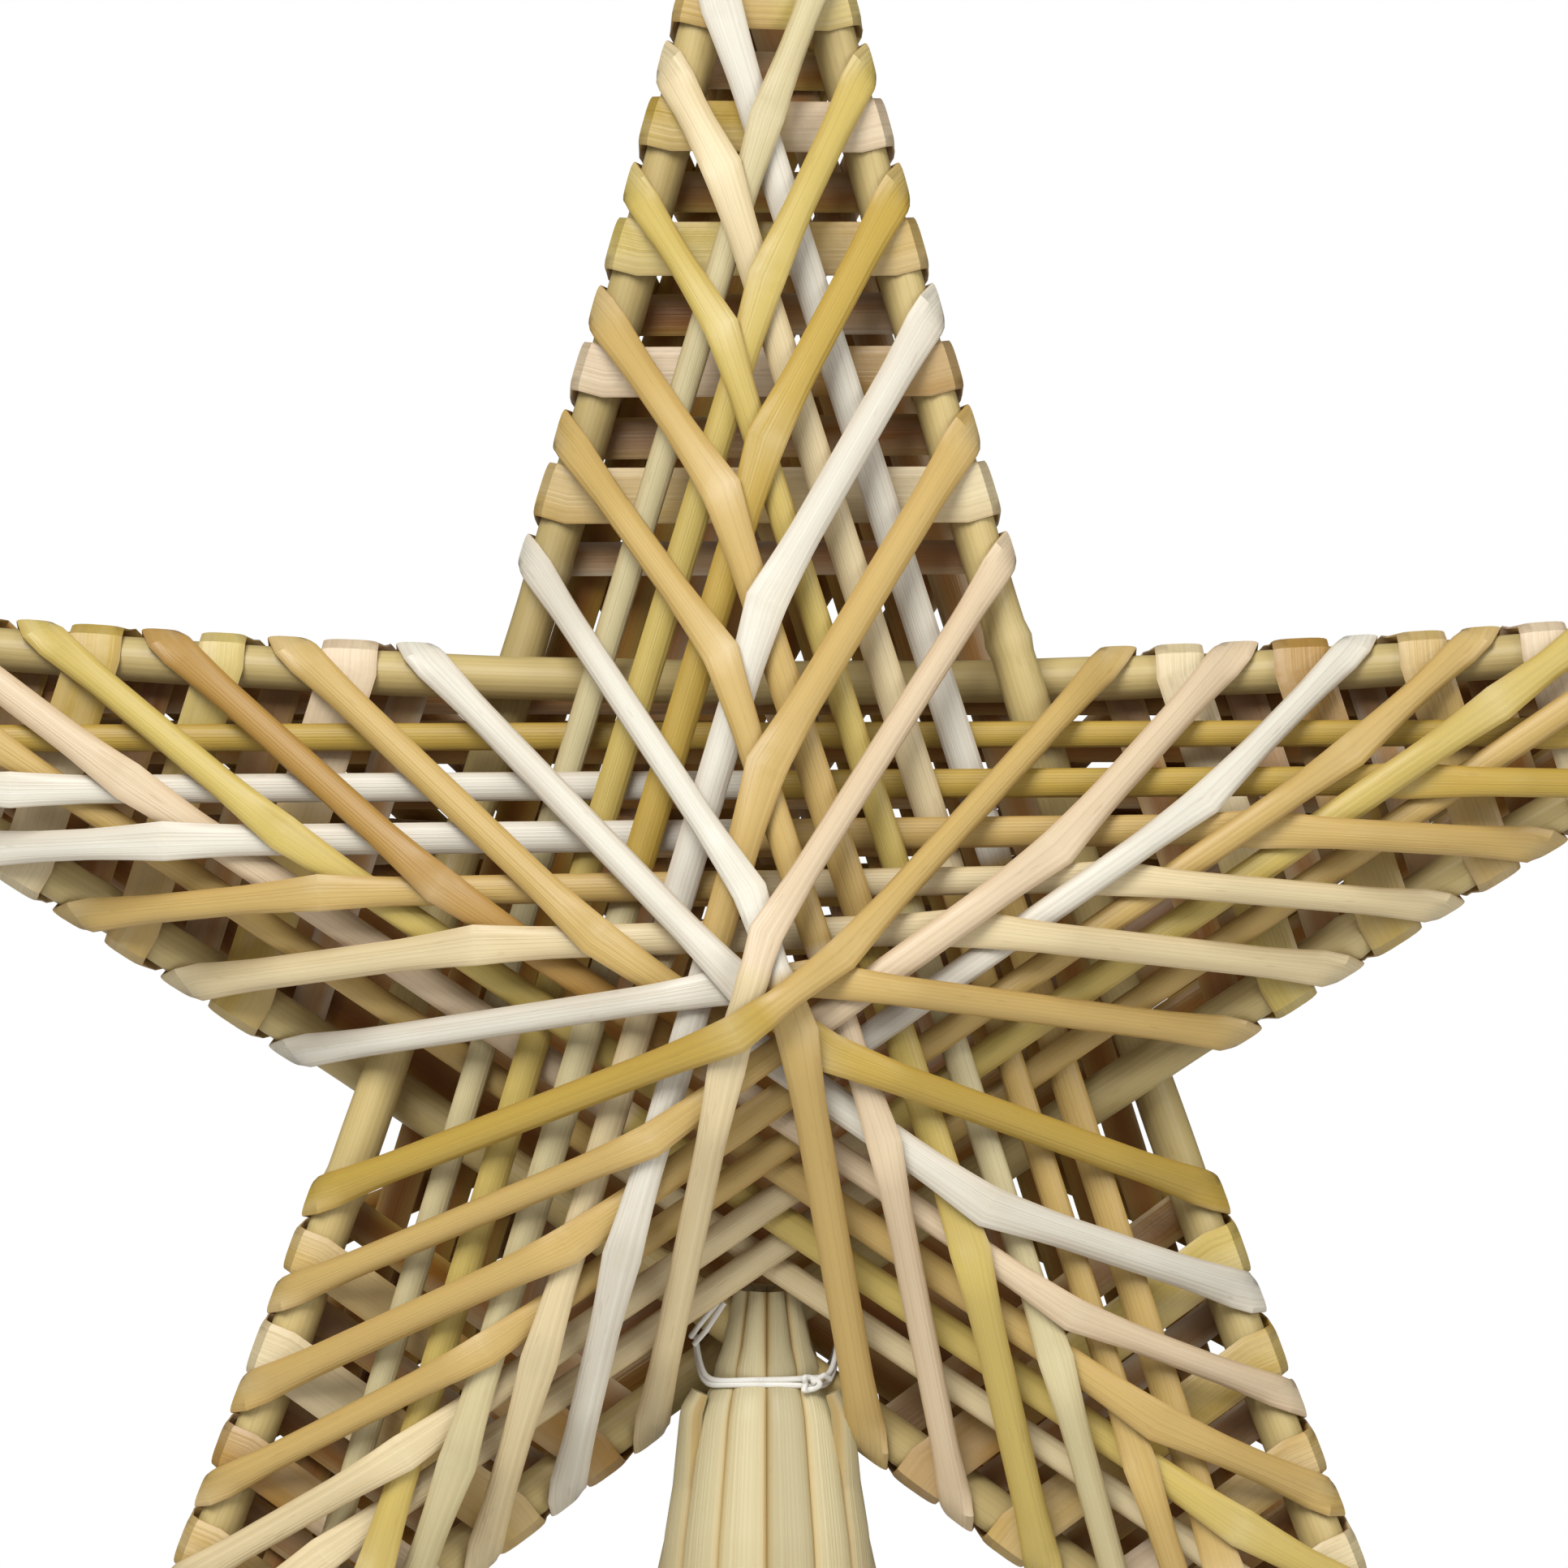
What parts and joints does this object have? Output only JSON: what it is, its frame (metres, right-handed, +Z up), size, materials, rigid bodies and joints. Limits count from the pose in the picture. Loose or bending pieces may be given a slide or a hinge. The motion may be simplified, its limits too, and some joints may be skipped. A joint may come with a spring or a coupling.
{
  "type": "straw star ornament",
  "caption": "Five-pointed star wound from whole straws over crossed stems, standing on a spread straw foot tied with thread.",
  "frame": {"origin": "on the ground under the middle of the outline, level with the rim of the straw foot", "axes": "+Z up, the star lies in the XZ plane and its front faces -Y"},
  "size_m": [0.2914, 0.0684, 0.2839],
  "materials": {
    "edge_stick_left_to_lower_right": "matt natural stem",
    "edge_stick_lower_left_to_right": "matt natural stem",
    "edge_stick_lower_right_to_top": "matt natural stem",
    "edge_stick_right_to_left": "matt natural stem",
    "edge_stick_top_to_lower_left": "matt natural stem",
    "straw_course_front_1": "satin natural straw",
    "straw_course_front_2": "satin natural straw",
    "straw_course_front_3": "satin natural straw",
    "straw_course_front_4": "satin natural straw",
    "straw_course_front_5": "satin natural straw",
    "straw_course_front_6": "satin natural straw",
    "straw_course_back_1": "satin natural straw",
    "straw_course_back_2": "satin natural straw",
    "straw_course_back_3": "satin natural straw",
    "straw_course_back_4": "satin natural straw",
    "straw_course_back_5": "satin natural straw",
    "straw_course_back_6": "satin natural straw",
    "foot_straw_01": "satin natural straw",
    "foot_straw_02": "satin natural straw",
    "foot_straw_03": "satin natural straw",
    "foot_straw_04": "satin natural straw",
    "foot_straw_05": "satin natural straw",
    "foot_straw_06": "satin natural straw",
    "foot_straw_07": "satin natural straw",
    "foot_straw_08": "satin natural straw",
    "foot_straw_09": "satin natural straw",
    "foot_straw_10": "satin natural straw",
    "foot_straw_11": "satin natural straw",
    "foot_straw_12": "satin natural straw",
    "foot_straw_13": "satin natural straw",
    "foot_straw_14": "satin natural straw",
    "neck_tie": "white cotton thread"
  },
  "bodies": {
    "root": {"edge_stick_left_to_lower_right": "edge_stick_left_to_lower_right", "edge_stick_lower_left_to_right": "edge_stick_lower_left_to_right", "edge_stick_lower_right_to_top": "edge_stick_lower_right_to_top", "edge_stick_right_to_left": "edge_stick_right_to_left", "edge_stick_top_to_lower_left": "edge_stick_top_to_lower_left", "straw_course_front_1": "straw_course_front_1", "straw_course_front_2": "straw_course_front_2", "straw_course_front_3": "straw_course_front_3", "straw_course_front_4": "straw_course_front_4", "straw_course_front_5": "straw_course_front_5", "straw_course_front_6": "straw_course_front_6", "straw_course_back_1": "straw_course_back_1", "straw_course_back_2": "straw_course_back_2", "straw_course_back_3": "straw_course_back_3", "straw_course_back_4": "straw_course_back_4", "straw_course_back_5": "straw_course_back_5", "straw_course_back_6": "straw_course_back_6", "foot_straw_01": "foot_straw_01", "foot_straw_02": "foot_straw_02", "foot_straw_03": "foot_straw_03", "foot_straw_04": "foot_straw_04", "foot_straw_05": "foot_straw_05", "foot_straw_06": "foot_straw_06", "foot_straw_07": "foot_straw_07", "foot_straw_08": "foot_straw_08", "foot_straw_09": "foot_straw_09", "foot_straw_10": "foot_straw_10", "foot_straw_11": "foot_straw_11", "foot_straw_12": "foot_straw_12", "foot_straw_13": "foot_straw_13", "foot_straw_14": "foot_straw_14", "neck_tie": "neck_tie"}
  },
  "joints": []
}
